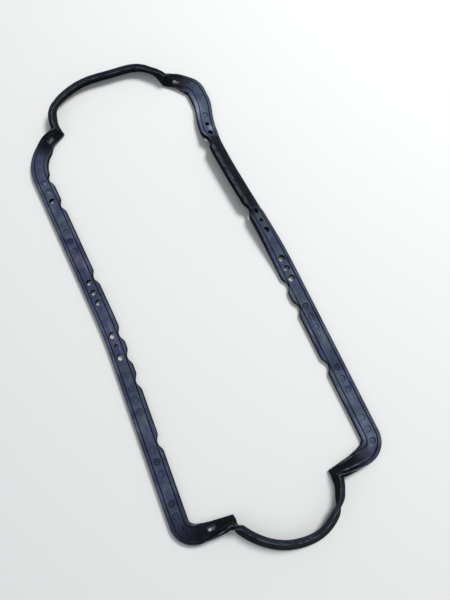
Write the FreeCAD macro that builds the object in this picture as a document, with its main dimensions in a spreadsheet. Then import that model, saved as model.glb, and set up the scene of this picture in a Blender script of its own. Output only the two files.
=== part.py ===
import FreeCAD, Part
import os
from math import sin, cos, tan, radians, degrees, atan2

Vector = FreeCAD.Vector

# One-piece moulded rubber oil pan gasket, lying loose on a table.
# X runs across the gasket, Y along its rails, Z up; sizes in millimetres, angles in degrees.
# The strip is followed round the loop anticlockwise, seen from above, so that
# its outer edge is always on the right hand.  A roll above zero lifts the outer edge.

doc = FreeCAD.newDocument("oil_pan_gasket")
sheet = doc.addObject("Spreadsheet::Sheet", "Sizes")

sizes = [
    # the strip
    ("strip_width", 14.5),
    ("strip_thick", 4.5),
    ("left_lobe_reach", 2.9),
    ("right_lobe_reach", 3.5),
    ("top_right_lobe_reach", 4.7),
    ("lobe_ramp", 8.0),
    ("hole_line_shift", 1.35),
    ("groove_gap", 10.0),
    ("groove_width", 1.0),
    ("groove_depth", 0.8),
    ("arch_strip_width", 12.5),
    # holes and recesses
    ("bolt_hole_diameter", 6.4),
    ("pin_hole_diameter", 5.4),
    ("small_hole_diameter", 3.5),
    ("recess_diameter", 6.0),
    ("recess_depth", 0.7),
    ("slot_length", 7.0),
    ("slot_width", 3.6),
    ("hole_pitch", 11.4),
    # places along the rails where the inner edge is notched, from the top end down
    ("notch_flat", 1.5),
    ("left_notch_1", 190.0),
    ("left_notch_2", 157.0),
    ("left_notch_3", 70.0),
    ("left_notch_4", 6.0),
    ("left_notch_5", -17.5),
    ("left_notch_6", -43.0),
    ("left_notch_7", -103.0),
    ("right_notch_1", 157.0),
    ("right_notch_2", 70.0),
    ("right_notch_3", -17.5),
    ("right_notch_4", -42.5),
    ("right_notch_5", -105.0),
    # middles of the groups of three holes, from the top end down
    ("left_group_1", 176.3),
    ("left_group_2", 115.2),
    ("left_group_3", 54.9),
    ("left_group_4", -4.2),
    ("left_group_5", -59.5),
    ("left_group_6", -118.5),
    ("left_group_7", -168.0),
    ("right_group_1", 180.2),
    ("right_group_2", 115.0),
    ("right_group_3", 54.8),
    ("right_group_4", -1.5),
    ("right_group_5", -55.5),
    ("right_group_6", -121.5),
    ("right_group_7", -172.4),
    # distances from the roots of the arches to the slots and to the recesses beyond the top ones
    ("top_left_slot_run", 12.0),
    ("top_left_recess_run", 22.5),
    ("top_right_slot_run", 13.0),
    ("top_right_recess_run", 25.5),
    ("bottom_left_slot_run", 18.5),
    # left side, from the top root round to the bottom root
    ("left_root_across", 39.0),
    ("left_root_along", 237.7),
    ("left_root_angle", 202.4),
    ("left_end_run", 11.9),
    ("left_top_radius", 40.0),
    ("left_top_angle", 70.0),
    ("left_upper_run", 161.8),
    ("bow_radius", 570.0),
    ("bow_angle", 4.9),
    ("left_lower_run", 159.5),
    ("left_foot_radius", 14.8),
    ("left_foot_angle", 89.3),
    ("left_foot_run", 31.4),
    # right side, from the bottom root round to the top root
    ("right_root_across", 151.0),
    ("right_root_along", -194.5),
    ("right_root_angle", 3.2),
    ("right_foot_run", 32.7),
    ("right_foot_radius", 15.0),
    ("right_foot_angle", 86.8),
    ("right_lower_run", 169.7),
    ("twist_run", 220.0),
    ("twist_sway", 9.0),
    ("right_upper_run", 11.4),
    ("right_top_radius", 19.0),
    ("right_top_angle", 63.0),
    ("right_end_run", 21.3),
    # how the strip lies
    ("top_left_early_angle", 21.0),
    ("top_right_early_angle", 15.0),
    ("foot_early_angle", 30.0),
    ("top_left_root_roll_angle", 65.0),
    ("top_right_root_roll_angle", 75.0),
    ("bottom_left_root_roll_angle", 62.0),
    ("bottom_right_root_roll_angle", 63.0),
    ("twist_lead_roll_angle", 26.0),
    ("twist_fold_roll_angle", 12.0),
    ("top_arch_roll_angle", 111.0),
    ("top_leg_roll_angle", 80.0),
    ("bottom_arch_roll_angle", 124.0),
    ("bottom_leg_roll_angle", 80.0),
    ("bottom_arch_reach", 39.1),
    ("top_arch_reach", 42.0),
    ("fold_reach", 6.0),
]
for row, (name, number) in enumerate(sizes, start=1):
    sheet.set("A%d" % row, name)
    sheet.set("B%d" % row, str(number))
    sheet.setAlias("B%d" % row, name)
doc.recompute()


def size(name):
    """Value of one named cell of the sheet."""
    return float(sheet.get(name))


width = size("strip_width")
thick = size("strip_thick")
hole_line = -size("hole_line_shift")


def ramp(value, start, end):
    """Smooth step from 0 at start to 1 at end."""
    share = min(max((value - start) / (end - start), 0.0), 1.0)
    return share * share * (3.0 - 2.0 * share)


# Plan of the strip's centre line

class Path:
    """Centre line made of tangent straights and arcs, walked from a start pose."""

    def __init__(self, across, along, heading):
        self.points = [(across, along, heading)]
        self.legs = []

    def straight(self, length):
        across, along, heading = self.points[-1]
        angle = radians(heading)
        self.points.append((across + length * cos(angle), along + length * sin(angle), heading))
        self.legs.append((length, 0.0))

    def turn(self, radius, angle):
        """Arc; an angle above zero turns left."""
        across, along, heading = self.points[-1]
        side = 90.0 if angle > 0 else -90.0
        to_centre = radians(heading + side)
        centre_x = across + radius * cos(to_centre)
        centre_y = along + radius * sin(to_centre)
        back = radians(heading + angle - side)
        self.points.append((centre_x + radius * cos(back), centre_y + radius * sin(back), heading + angle))
        self.legs.append((radius * radians(abs(angle)), angle))

    def length(self):
        return sum(leg[0] for leg in self.legs)

    def pose(self, distance):
        """Across, along and heading at a distance from the start."""
        for (length, angle), (across, along, heading) in zip(self.legs, self.points):
            if distance <= length or (length, angle) == self.legs[-1]:
                break
            distance -= length
        if angle == 0.0:
            turn = radians(heading)
            return across + distance * cos(turn), along + distance * sin(turn), heading
        radius = length / radians(abs(angle))
        side = 90.0 if angle > 0 else -90.0
        to_centre = radians(heading + side)
        now = heading + angle * distance / length
        back = radians(now - side)
        return (across + radius * cos(to_centre) + radius * cos(back),
                along + radius * sin(to_centre) + radius * sin(back), now)

    def pose_at_share(self, share):
        return self.pose(share * self.length())


def beside(pose, offset):
    """Plan point at an offset to the outer side of a pose on the path."""
    across, along, heading = pose
    angle = radians(heading - 90.0)
    return Vector(across + offset * cos(angle), along + offset * sin(angle), 0)


top_left_early = size("top_left_early_angle")
top_right_early = size("top_right_early_angle")
foot_early = size("foot_early_angle")

left_end = Path(size("left_root_across"), size("left_root_along"), size("left_root_angle"))
left_end.straight(size("left_end_run"))
left_end.turn(size("left_top_radius"), top_left_early)

left_rail = Path(*left_end.points[-1])
left_rail.turn(size("left_top_radius"), size("left_top_angle") - top_left_early)
left_rail.straight(size("left_upper_run"))
left_rail.turn(size("bow_radius"), -size("bow_angle"))
left_rail.straight(size("left_lower_run"))
left_rail.turn(size("left_foot_radius"), size("left_foot_angle") - foot_early)

left_foot = Path(*left_rail.points[-1])
left_foot.turn(size("left_foot_radius"), foot_early)
left_foot.straight(size("left_foot_run"))

right_foot = Path(size("right_root_across"), size("right_root_along"), size("right_root_angle"))
right_foot.straight(size("right_foot_run"))
right_foot.turn(size("right_foot_radius"), foot_early)

right_rail = Path(*right_foot.points[-1])
right_rail.turn(size("right_foot_radius"), size("right_foot_angle") - foot_early)
right_rail.straight(size("right_lower_run"))

twist_start = right_rail.points[-1]
twist_end = (twist_start[0], twist_start[1] + size("twist_run"), twist_start[2])

right_top = Path(*twist_end)
right_top.straight(size("right_upper_run"))
right_top.turn(size("right_top_radius"), size("right_top_angle") - top_right_early)

right_end = Path(*right_top.points[-1])
right_end.turn(size("right_top_radius"), top_right_early)
right_end.straight(size("right_end_run"))


# The strip's section and its lofts

def section_outline(reach, scale):
    """Corners of the section, centre at (0, 0): two V grooves above, inner edge moved in by reach."""
    half = width / 2
    top = thick / 2
    groove = size("groove_width") / 2
    floor = top - size("groove_depth")
    corners = [(-half - reach, -top), (half, -top), (half, top)]
    for side in (0.5, -0.5):
        centre = hole_line + side * size("groove_gap")
        corners += [(centre + groove, top), (centre, floor), (centre - groove, top)]
    corners.append((-half - reach, top))
    return [(place * scale, height) for place, height in corners]


def rest_height(roll, reach, scale):
    """Height of the section's centre when its lowest corner touches the table."""
    angle = radians(roll)
    corners = section_outline(reach, scale)
    return -min(place * sin(angle) + height * cos(angle) for place, height in corners)


def placed_point(pose, roll, lift, place, height):
    """Point of the section in space, for a pose on the path, a roll and a centre height."""
    across, along, heading = pose
    side = radians(heading - 90.0)
    angle = radians(roll)
    out = place * cos(angle) - height * sin(angle)
    rise = place * sin(angle) + height * cos(angle)
    return Vector(across + out * cos(side), along + out * sin(side), lift + rise)


def section_wire(pose, roll, reach=0.0, scale=1.0, mitre=None, share=1.0):
    """Closed section wire.

    Next to a sharp fold the section slips along the strip towards the fold's plane, by the given
    share of the way; mitre is the heading of that plane's normal.
    """
    lift = rest_height(roll, reach, scale)
    points = []
    for place, height in section_outline(reach, scale):
        point = placed_point(pose, roll, lift, place, height)
        if mitre is not None:
            travel = Vector(cos(radians(pose[2])), sin(radians(pose[2])), 0)
            normal = Vector(cos(radians(mitre)), sin(radians(mitre)), 0)
            offset = point - Vector(pose[0], pose[1], point.z)
            point = point - travel * (share * offset.dot(normal) / travel.dot(normal))
        points.append(point)
    return Part.makePolygon(points + points[:1])


def edges_along(path, offset, start, end):
    """Straight and arc edges at an offset from a path, between two distances along it."""
    edges = []
    passed = 0.0
    for length, angle in path.legs:
        first = max(start, passed)
        last = min(end, passed + length)
        passed += length
        if last - first < 0.001:
            continue
        ends = [beside(path.pose(place), offset) for place in (first, (first + last) / 2, last)]
        if angle == 0.0:
            edges.append(Part.makeLine(ends[0], ends[2]))
        else:
            edges.append(Part.Arc(*ends).toShape())
    return edges


def flat_pad(inner_edges, outer_edges, low, high):
    """Pad of the plan outline between an inner and an outer chain of edges."""
    chain = Part.Wire(Part.__sortEdges__(inner_edges))
    other = Part.Wire(Part.__sortEdges__(outer_edges))
    closing = []
    for place in (0, -1):
        closing.append(Part.makeLine(chain.OrderedVertexes[place].Point, other.OrderedVertexes[place].Point))
    face = Part.Face(Part.Wire(Part.__sortEdges__(inner_edges + outer_edges + closing)))
    face.translate(Vector(0, 0, low))
    return face.extrude(Vector(0, 0, high - low))


def share_at(pose, along):
    """Share of a rail's run at which it passes a place along the gasket."""
    low, high = 0.0, 1.0
    rising = pose(1.0)[1] > pose(0.0)[1]
    for step in range(50):
        middle = (low + high) / 2
        if (pose(middle)[1] < along) == rising:
            low = middle
        else:
            high = middle
    return low


notch_flat = size("notch_flat")


def tangent_arc(start, way, end):
    """Arc from start to end that sets out along a given way."""
    chord = end - start
    along = chord.normalize()
    half = (end - start).Length / 2
    aside = way - along * way.dot(along)
    bulge = half * tan(way.getAngle(along) / 2)
    return Part.Arc(start, start + along * half + aside.normalize() * bulge, end).toShape()


def lobe_flank(path, start, end, first_offset, last_offset):
    """Two tangent arcs that step the inner edge from one offset to another."""
    first = beside(path.pose(start), first_offset)
    last = beside(path.pose(end), last_offset)
    middle = (first + last) / 2
    ways = [Vector(cos(radians(heading)), sin(radians(heading)), 0)
            for heading in (path.pose(start)[2], path.pose(end)[2])]
    return [tangent_arc(first, ways[0], middle), tangent_arc(last, -ways[1], middle)]


def lobed_edges(path, notches, inward):
    """Inner edge of a flat rail: lobes standing in from the plain edge, with a notch between two."""
    plain = -width / 2
    reach = plain - inward
    edges = []
    done = 0.0
    length = path.length()
    for middle in sorted(share_at(path.pose_at_share, notch) * length for notch in notches):
        start = middle - notch_flat / 2
        end = middle + notch_flat / 2
        edges += edges_along(path, reach, done, start - size("lobe_ramp"))
        edges += lobe_flank(path, start - size("lobe_ramp"), start, reach, plain)
        edges.append(Part.makeLine(beside(path.pose(start), plain), beside(path.pose(end), plain)))
        edges += lobe_flank(path, end, end + size("lobe_ramp"), plain, reach)
        done = end + size("lobe_ramp")
    return edges + edges_along(path, reach, done, length)


def lies_across(face, path):
    """True for the faces at the two ends of a flat stretch, where the next stretch carries on."""
    for across, along, heading in (path.points[0], path.points[-1]):
        way = Vector(cos(radians(heading)), sin(radians(heading)), 0)
        end = Vector(across, along, 0)
        if all(abs((vertex.Point - end).dot(way)) < 0.0001 for vertex in face.Vertexes):
            return True
    return False


def groove_cutter(path, centre):
    """Wedge that cuts a V groove into the upper face of a flat stretch."""
    half = size("groove_width") / 2
    deep = size("groove_depth")
    corners = [(0.0, -deep), (1.5 * half, 0.5 * deep), (-1.5 * half, 0.5 * deep)]
    points = [beside(path.pose(0.0), centre + place) + Vector(0, 0, thick + rise) for place, rise in corners]
    sweep = Part.BRepOffsetAPI.MakePipeShell(Part.Wire(edges_along(path, centre, 0.0, path.length())))
    sweep.setBiNormalMode(Vector(0, 0, 1))
    sweep.add(Part.makePolygon(points + points[:1]))
    sweep.build()
    sweep.makeSolid()
    return sweep.shape()


def flat_rail(path, notches, inward):
    """Side faces of a flat stretch of the strip: lobed pad with two grooves in its upper face."""
    length = path.length()
    rail = flat_pad(lobed_edges(path, notches, inward), edges_along(path, width / 2, 0.0, length), 0.0, thick)
    for side in (-0.5, 0.5):
        rail = rail.cut(groove_cutter(path, hole_line + side * size("groove_gap")))
    return [face for face in rail.Faces if not lies_across(face, path)]


# Stretches that are rolled as they run, with their roll, inner reach and scale by share of the run

class Stretch:
    """Part of the strip that changes as it runs: pose, roll, reach and scale are functions of the share."""

    def __init__(self, length, pose, roll, reach, scale):
        self.length = length
        self.pose = pose
        self.roll = roll
        self.reach = reach
        self.scale = scale

    def wire(self, share, first_fold, last_fold):
        """Section at a share of the run, slipped where it stands next to a fold."""
        mitre, near = first_fold, share
        if share > 0.5:
            mitre, near = last_fold, 1.0 - share
        slip = max(0.0, 1.0 - near * self.length / size("fold_reach"))
        return section_wire(self.pose(share), self.roll(share), self.reach(share), self.scale(share),
                            mitre, slip)

    def skin(self, shares, first_fold=None, last_fold=None):
        """Side faces of the stretch, ruled from section to section and open at both ends."""
        wires = [self.wire(share, first_fold, last_fold) for share in shares]
        return Part.makeLoft(wires, False, True).Faces

    def hole_axis(self, share):
        """Point of the hole line on the upper face, the face's normal and the way along the strip."""
        pose, roll = self.pose(share), self.roll(share)
        lift = rest_height(roll, self.reach(share), self.scale(share))
        on_line = hole_line * self.scale(share)
        point = placed_point(pose, roll, lift, on_line, thick / 2)
        above = placed_point(pose, roll, lift, on_line, thick / 2 + 1.0)
        heading = radians(pose[2])
        return point, above - point, Vector(cos(heading), sin(heading), 0)


arch_scale = size("arch_strip_width") / width


def end_piece(path, root_first, root_roll, inward):
    """Piece between a flat corner and an arch's root: it rolls up on its inner edge and narrows."""

    def to_root(share):
        return 1.0 - share if root_first else share

    return Stretch(
        path.length(), path.pose_at_share,
        lambda share: root_roll * to_root(share) ** 1.5,
        lambda share: inward * (1.0 - ramp(to_root(share), 0.0, 0.6)),
        lambda share: 1.0 + (arch_scale - 1.0) * ramp(to_root(share), 0.3, 1.0))


def flat_stretch(path):
    return Stretch(path.length(), path.pose_at_share, lambda share: 0.0, lambda share: 0.0, lambda share: 1.0)


# Places of the curve, each with its share of the way between the roots and its reach beyond them
bottom_arch_shape = [(0.105, 0.43), (0.355, 0.915), (0.52, 1.02), (0.70, 0.99), (0.90, 0.65), (0.967, 0.39)]
top_arch_shape = [(0.05, 0.395), (0.126, 0.645), (0.35, 0.855), (0.60, 0.985), (0.823, 0.875), (0.93, 0.69),
                  (0.985, 0.395)]


def curve_pose(curve):
    """Pose at a share of a curve's run."""

    def pose(share):
        place = curve.FirstParameter + share * (curve.LastParameter - curve.FirstParameter)
        point = curve.value(place)
        way = curve.tangent(place)[0]
        return point.x, point.y, degrees(atan2(way.y, way.x))

    return pose


def arch(start, end, reach, shape, rolls):
    """Arch between two roots; its roll eases by smooth steps from one (share, roll) to the next."""
    first = Vector(start[0], start[1], 0)
    chord = Vector(end[0], end[1], 0) - first
    out = Vector(chord.y, -chord.x, 0).normalize()
    points = [first] + [first + chord * along + out * (reach * beyond) for along, beyond in shape]
    curve = Part.BSplineCurve()
    curve.interpolate(points + [first + chord])

    def roll(share):
        turned = rolls[0][1]
        for (before, earlier), (after, later) in zip(rolls, rolls[1:]):
            turned += (later - earlier) * ramp(share, before, after)
        return turned

    return Stretch(curve.length(), curve_pose(curve), roll, lambda share: 0.0, lambda share: arch_scale)


def twisted_run():
    """Stretch of the right rail that has rolled over on its outer edge and swayed inwards."""
    first = Vector(twist_start[0], twist_start[1], 0)
    ahead = Vector(0, size("twist_run"), 0)
    sway = Vector(-size("twist_sway"), 0, 0)
    points = [first] + [first + ahead * along + sway * across
                        for along, across in ((0.355, 0.43), (0.695, 1.0), (0.90, 0.58))] + [first + ahead]
    curve = Part.BSplineCurve()
    curve.interpolate(Points=points, Tangents=[ahead * 1.0] + [Vector(0, 0, 0)] * 3 + [ahead * 1.0],
                      TangentFlags=[True, False, False, False, True])

    def roll(share):
        lead = ramp(share, 0.0, 0.30) - ramp(share, 0.75, 0.83)
        fold = ramp(share, 0.30, 0.37) - ramp(share, 0.83, 1.0)
        return -size("twist_lead_roll_angle") * lead - size("twist_fold_roll_angle") * fold

    def reach(share):
        along = first.y + share * size("twist_run")
        inward = right_lobe + (top_right_lobe - right_lobe) * ramp(share, 0.92, 1.0)
        for notch in right_notches:
            inward *= ramp(abs(along - notch), notch_flat / 2, notch_flat / 2 + size("lobe_ramp"))
        return inward

    return Stretch(curve.length(), curve_pose(curve), roll, reach, lambda share: 1.0)


# The strip in one piece

left_notches = [size("left_notch_%d" % number) for number in range(1, 8)]
right_notches = [size("right_notch_%d" % number) for number in range(1, 6)]
left_lobe = size("left_lobe_reach")
right_lobe = size("right_lobe_reach")
top_right_lobe = size("top_right_lobe_reach")

top_left_roll = size("top_left_root_roll_angle")
top_right_roll = size("top_right_root_roll_angle")
bottom_left_roll = size("bottom_left_root_roll_angle")
bottom_right_roll = size("bottom_right_root_roll_angle")
top_roll = size("top_arch_roll_angle")
bottom_roll = size("bottom_arch_roll_angle")

rolled_left_end = end_piece(left_end, True, top_left_roll, left_lobe)
rolled_left_foot = end_piece(left_foot, False, bottom_left_roll, left_lobe)
rolled_right_foot = end_piece(right_foot, True, bottom_right_roll, right_lobe)
rolled_right_end = end_piece(right_end, False, top_right_roll, top_right_lobe)
twist = twisted_run()
top_arch = arch(right_end.points[-1], left_end.points[0], size("top_arch_reach"), top_arch_shape,
                [(0.0, top_right_roll), (0.12, top_roll), (0.78, top_roll),
                 (0.90, size("top_leg_roll_angle")), (1.0, top_left_roll)])
bottom_arch = arch(left_foot.points[-1], right_foot.points[0], size("bottom_arch_reach"), bottom_arch_shape,
                   [(0.0, bottom_left_roll), (0.07, bottom_roll), (0.74, bottom_roll),
                    (0.88, size("bottom_leg_roll_angle")), (1.0, bottom_right_roll)])


def evenly(count):
    return [step / float(count) for step in range(count + 1)]


def twist_shares():
    """Places for the sections of the twisted run, closer together where a notch shapes its inner edge."""
    shares = []
    for notch in right_notches:
        for step in range(4):
            reach = notch_flat / 2 + size("lobe_ramp") * step / 3
            for place in (notch - reach, notch + reach):
                shares.append((place - twist_start[1]) / size("twist_run"))
    shares = [share for share in shares if 0.01 < share < 0.99]
    between = [share for share in evenly(22) if all(abs(share - near) > 0.012 for near in shares)]
    return sorted(shares + between)


def fold(before, after):
    """Heading of the normal of the plane in which two stretches meet at a sharp fold."""
    first = before.pose(1.0)[2]
    turn = (after.pose(0.0)[2] - first + 180.0) % 360.0 - 180.0
    return first + turn / 2


top_left_fold = fold(top_arch, rolled_left_end)
bottom_left_fold = fold(rolled_left_foot, bottom_arch)
bottom_right_fold = fold(bottom_arch, rolled_right_foot)
top_right_fold = fold(rolled_right_end, top_arch)

side_faces = flat_rail(left_rail, left_notches, left_lobe)
side_faces += flat_rail(right_rail, [notch for notch in right_notches if notch < twist_start[1]], right_lobe)
side_faces += flat_rail(right_top, [], top_right_lobe)
side_faces += twist.skin(twist_shares())
side_faces += rolled_left_end.skin(evenly(8), first_fold=top_left_fold)
side_faces += rolled_left_foot.skin(evenly(8), last_fold=bottom_left_fold)
side_faces += rolled_right_foot.skin(evenly(8), first_fold=bottom_right_fold)
side_faces += rolled_right_end.skin(evenly(8), last_fold=top_right_fold)
side_faces += top_arch.skin([0.0, 0.025] + evenly(19)[1:-1] + [0.975, 1.0], top_right_fold, top_left_fold)
side_faces += bottom_arch.skin([0.0, 0.02, 0.037] + evenly(17)[1:-1] + [0.975, 1.0], bottom_left_fold,
                               bottom_right_fold)

joined = Part.makeCompound(side_faces)
joined.sewShape(0.001)
strip = doc.addObject("Part::Feature", "strip")
strip.Shape = Part.Solid(joined.Shells[0])


# Holes and recesses, cut square to the strip's upper face

def drill(name, kind, stretch, share):
    """Cylinder that makes a through hole or, for a recess, a blind one."""
    point, normal, way = stretch.hole_axis(share)
    cutter = doc.addObject("Part::Cylinder", name)
    cutter.setExpression("Radius", "Sizes.%s_diameter / 2" % kind)
    if kind == "recess":
        cutter.setExpression("Height", "Sizes.recess_depth + 1")
        start = point - normal * size("recess_depth")
    else:
        cutter.setExpression("Height", "Sizes.strip_thick + 2")
        start = point - normal * (thick + 1.0)
    cutter.Placement = FreeCAD.Placement(start, FreeCAD.Rotation(Vector(0, 0, 1), normal))
    return cutter


def slot(name, stretch, share):
    """Round-ended slot along the strip, cut right through."""
    point, normal, way = stretch.hole_axis(share)
    middle = doc.addObject("Part::Box", name + "_middle")
    middle.setExpression("Length", "Sizes.slot_length - Sizes.slot_width")
    middle.setExpression("Width", "Sizes.slot_width")
    middle.setExpression("Height", "Sizes.strip_thick + 2")
    straight = size("slot_length") - size("slot_width")
    middle.Placement.Base = Vector(-straight / 2, -size("slot_width") / 2, 0)
    parts = [middle]
    for end in (-1, 1):
        rounded = doc.addObject("Part::Cylinder", "%s_end_%d" % (name, end + 2))
        rounded.setExpression("Radius", "Sizes.slot_width / 2")
        rounded.setExpression("Height", "Sizes.strip_thick + 2")
        rounded.Placement.Base = Vector(end * straight / 2, 0, 0)
        parts.append(rounded)
    cutter = doc.addObject("Part::MultiFuse", name)
    cutter.Shapes = parts
    turned = FreeCAD.Rotation(way, normal.cross(way), normal, "ZXY")
    cutter.Placement = FreeCAD.Placement(point - normal * (thick + 1.0), turned)
    return cutter


# What each group of three holds, named from the top end down
left_groups = [
    ("recess", "recess", "pin_hole"),
    ("recess", "recess", "recess"),
    ("pin_hole", "pin_hole", "pin_hole"),
    ("bolt_hole", "small_hole", "bolt_hole"),
    ("recess", "recess", "recess"),
    ("recess", "recess", "recess"),
    ("recess", "recess", "recess"),
]
right_groups = [
    ("recess", "small_hole", "pin_hole"),
    ("recess", "recess", "recess"),
    ("pin_hole", "small_hole", "pin_hole"),
    ("bolt_hole", "pin_hole", "bolt_hole"),
    ("recess", "recess", "recess"),
    ("recess", "recess", "recess"),
    ("recess", "recess", "recess"),
]

flat_left = flat_stretch(left_rail)
flat_right = flat_stretch(right_rail)
cutters = []
for side, groups in (("left", left_groups), ("right", right_groups)):
    for number, kinds in enumerate(groups, start=1):
        middle = size("%s_group_%d" % (side, number))
        for step, kind in enumerate(kinds):
            along = middle + (1 - step) * size("hole_pitch")
            stretch = flat_left if side == "left" else twist if along > twist_start[1] else flat_right
            name = "%s_%d_%s_%d" % (side, number, kind, step + 1)
            cutters.append(drill(name, kind, stretch, share_at(stretch.pose, along)))

top_left_share = 1.0 / left_end.length()
top_right_share = 1.0 / right_end.length()
foot_share = 1.0 / left_foot.length()
cutters.append(drill("top_left_recess", "recess", rolled_left_end,
                     size("top_left_recess_run") * top_left_share))
cutters.append(drill("top_right_recess", "recess", rolled_right_end,
                     1.0 - size("top_right_recess_run") * top_right_share))
cutters.append(slot("top_left_slot", rolled_left_end, size("top_left_slot_run") * top_left_share))
cutters.append(slot("top_right_slot", rolled_right_end, 1.0 - size("top_right_slot_run") * top_right_share))
cutters.append(slot("bottom_left_slot", rolled_left_foot, 1.0 - size("bottom_left_slot_run") * foot_share))

holes = doc.addObject("Part::Compound", "holes")
holes.Links = cutters

gasket = doc.addObject("Part::Cut", "gasket")
gasket.Label = "gasket"
gasket.Base = strip
gasket.Tool = holes
doc.recompute()

# The origin is under the middle of the gasket, at table height
box = gasket.Shape.optimalBoundingBox(False)
gasket.Placement.Base = Vector(-(box.XMin + box.XMax) / 2, -(box.YMin + box.YMax) / 2, -box.ZMin)
doc.recompute()

for item in doc.Objects:
    if "Invalid" in item.State or "Error" in item.State:
        raise RuntimeError("%s did not build" % item.Name)
shape = gasket.Shape
if shape.isNull() or not shape.isValid() or len(shape.Solids) != 1:
    raise RuntimeError("the gasket is not one valid solid")

os.makedirs("parts", exist_ok=True)
shape.exportStep("parts/gasket.step")
box = shape.optimalBoundingBox(False)
print("gasket %.1f x %.1f x %.1f mm, %.0f cubic mm, %d faces"
      % (box.XLength, box.YLength, box.ZLength, shape.Volume, len(shape.Faces)))
print("low corner %.3f %.3f %.3f" % (box.XMin, box.YMin, box.ZMin))
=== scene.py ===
from math import cos, pi, radians, sin

import bmesh
import bpy
import numpy as np
from mathutils import Matrix, Vector


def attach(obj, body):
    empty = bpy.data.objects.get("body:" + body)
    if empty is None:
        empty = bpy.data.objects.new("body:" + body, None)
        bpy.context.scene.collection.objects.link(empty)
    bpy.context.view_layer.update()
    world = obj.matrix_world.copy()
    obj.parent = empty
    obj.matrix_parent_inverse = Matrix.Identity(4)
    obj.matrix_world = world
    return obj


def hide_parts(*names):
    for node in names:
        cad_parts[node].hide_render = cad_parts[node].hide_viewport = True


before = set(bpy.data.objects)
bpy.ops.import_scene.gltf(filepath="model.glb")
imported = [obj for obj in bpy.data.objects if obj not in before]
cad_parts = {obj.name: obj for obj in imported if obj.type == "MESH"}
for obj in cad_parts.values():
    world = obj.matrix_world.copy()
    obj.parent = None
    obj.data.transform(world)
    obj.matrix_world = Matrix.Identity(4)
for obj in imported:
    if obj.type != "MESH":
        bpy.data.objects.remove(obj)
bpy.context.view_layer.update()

# Moulded rubber oil pan gasket lying loose on a pale table: one closed loop of strip.
# Lengths are in millimetres and angles in degrees until a mesh is made. The loop has four runs,
# each followed with its outer edge on the right hand. Across the strip, places are measured from
# its path, plus towards the outer edge, and heights from the middle of its thickness. A roll
# lifts the outer edge. Plan places are the part's own, with the gasket's middle at PLAN_MIDDLE.
PLAN_MIDDLE = (100.4245, 24.5496)
MILLIMETRE = 0.001

# The strip's section
HALF_WIDTH = 7.25
HALF_THICK = 2.25
EDGE_ROUND = 0.3
HOLE_LINE = -1.35
GROOVE_GAP = 10.0
GROOVE_HALF = 0.52
GROOVE_DEPTH = 0.8
INNER_GROOVE = HOLE_LINE - GROOVE_GAP / 2
OUTER_GROOVE = HOLE_LINE + GROOVE_GAP / 2
ARCH_SCALE = 12.5 / 14.5

# Lobes, which reach in past half the width between narrow notches
LEFT_REACH = 2.9
RIGHT_REACH = 3.5
TOP_RIGHT_REACH = 4.7
LOBE_RAMP = 8.0
NOTCH_FLAT = 1.5
LEFT_NOTCHES = (190.0, 157.0, 70.0, 6.0, -17.5, -43.0, -103.0)
RIGHT_NOTCHES = (157.0, 70.0, -17.5, -42.5, -105.0)

# Rolls at the roots, where cross-pieces meet arches, and how many degrees of a corner's bend share
# them. Along a cross-piece's way to the root the roll grows as a power of the share gone, the lobe
# has gone at one share, and the strip starts to narrow at another. Sections slip into a fold's
# plane within FOLD_REACH of it.
TOP_LEFT_ROLL = 65.0
TOP_RIGHT_ROLL = 75.0
BOTTOM_LEFT_ROLL = 62.0
BOTTOM_RIGHT_ROLL = 63.0
ROLL_POWER = 1.5
BOTTOM_ROLLED_BEND = 30.0
TOP_LEFT_ROLLED_BEND = 21.0
TOP_RIGHT_ROLLED_BEND = 15.0
LOBE_GONE = 0.6
NARROWING = 0.3
FOLD_REACH = 6.0

# Plan place and heading where each side starts, at its first root
LEFT_START = (39.0, 237.7, 202.4)
RIGHT_START = (151.0, -194.5, 3.2)

# Twisted stretch of the right rail: a lean and a sharper fold, as shares of the way where each
# one starts, is whole, starts to go and is gone, and the shares where the lobe starts to widen
# and is at its widest
LEAN_ROLL = 26.0
LEAN_WAY = (0.0, 0.30, 0.75, 0.83)
RAIL_FOLD_ROLL = 12.0
RAIL_FOLD_WAY = (0.32, 0.345, 0.83, 1.0)
WIDENING_WAY = (0.92, 1.0)
TWIST_LENGTH = 220.0
TWIST_SWAY = 9.0
TWIST_SHAPE = ((0.0, 0.0), (0.355, 0.43), (0.695, 1.0), (0.90, 0.58), (1.0, 0.0))

# Arches: places as shares of the chord and of the reach beyond it, and rolls by share of the way
BOTTOM_ARCH_REACH = 39.1
BOTTOM_ARCH_SHAPE = ((0.105, 0.43), (0.355, 0.915), (0.52, 1.02), (0.70, 0.99), (0.90, 0.65), (0.967, 0.39))
BOTTOM_ARCH_ROLLS = ((0.0, BOTTOM_LEFT_ROLL), (0.07, 124.0), (0.74, 124.0), (0.88, 80.0),
                     (1.0, BOTTOM_RIGHT_ROLL))
TOP_ARCH_REACH = 42.0
TOP_ARCH_SHAPE = ((0.05, 0.395), (0.126, 0.645), (0.35, 0.855), (0.60, 0.985), (0.823, 0.875),
                  (0.93, 0.69), (0.985, 0.395))
TOP_ARCH_ROLLS = ((0.0, TOP_RIGHT_ROLL), (0.12, 111.0), (0.78, 111.0), (0.90, 80.0), (1.0, TOP_LEFT_ROLL))

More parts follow.
